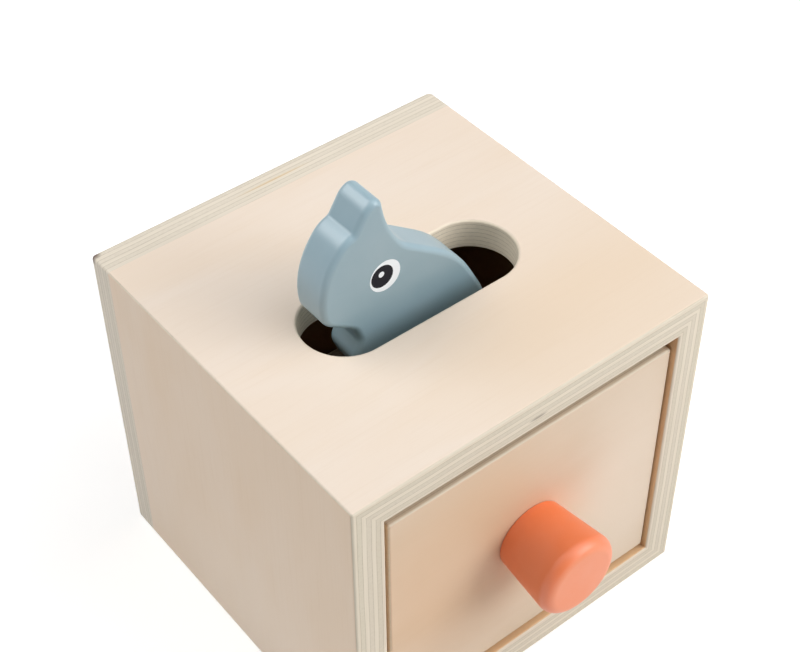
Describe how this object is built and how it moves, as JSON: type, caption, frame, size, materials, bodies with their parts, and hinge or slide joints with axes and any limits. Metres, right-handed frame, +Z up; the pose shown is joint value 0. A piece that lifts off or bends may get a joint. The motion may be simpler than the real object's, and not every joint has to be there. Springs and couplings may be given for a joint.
{
  "type": "hide-and-seek box",
  "caption": "Plywood toddler box with a pull-out drawer, an orange knob and a slot in the top for a flat wooden animal.",
  "frame": {"origin": "centre of the box's underside, midway between its sides and between the front and back faces", "axes": "+Z up; -Y is the front, where the drawer pulls out; +X is to the right of someone facing the drawer"},
  "size_m": [0.12, 0.1377, 0.151],
  "materials": {
    "plywood": "clear matt varnish on birch plywood",
    "beech": "raw",
    "orange_paint": "satin water-based paint on turned beech",
    "blue_grey_paint": "satin water-based paint",
    "brass_insert": "turned",
    "zinc_steel": "zinc plated"
  },
  "bodies": {
    "carcass": {"top_panel": "plywood", "bottom_panel": "plywood", "left_panel": "plywood", "right_panel": "plywood", "back_panel": "plywood", "carcass_dowels": "beech"},
    "drawer": {"drawer_front": "plywood", "drawer_left_wall": "plywood", "drawer_right_wall": "plywood", "drawer_back_wall": "plywood", "drawer_floor": "plywood", "drawer_dowels": "beech", "drawer_knob": "orange_paint", "knob_insert": "brass_insert", "knob_washer": "zinc_steel", "knob_screw": "zinc_steel"},
    "animal": {"toy_animal": "blue_grey_paint"}
  },
  "joints": [
    {"name": "drawer_slide", "type": "slide", "parent": "carcass", "child": "drawer", "axis": [0, -1, 0], "range_m": [0, 0.09]},
    {"name": "animal_slide", "type": "slide", "parent": "carcass", "child": "animal", "axis": [0, 0, 1], "range_m": [-0.0514, 0.03]}
  ]
}
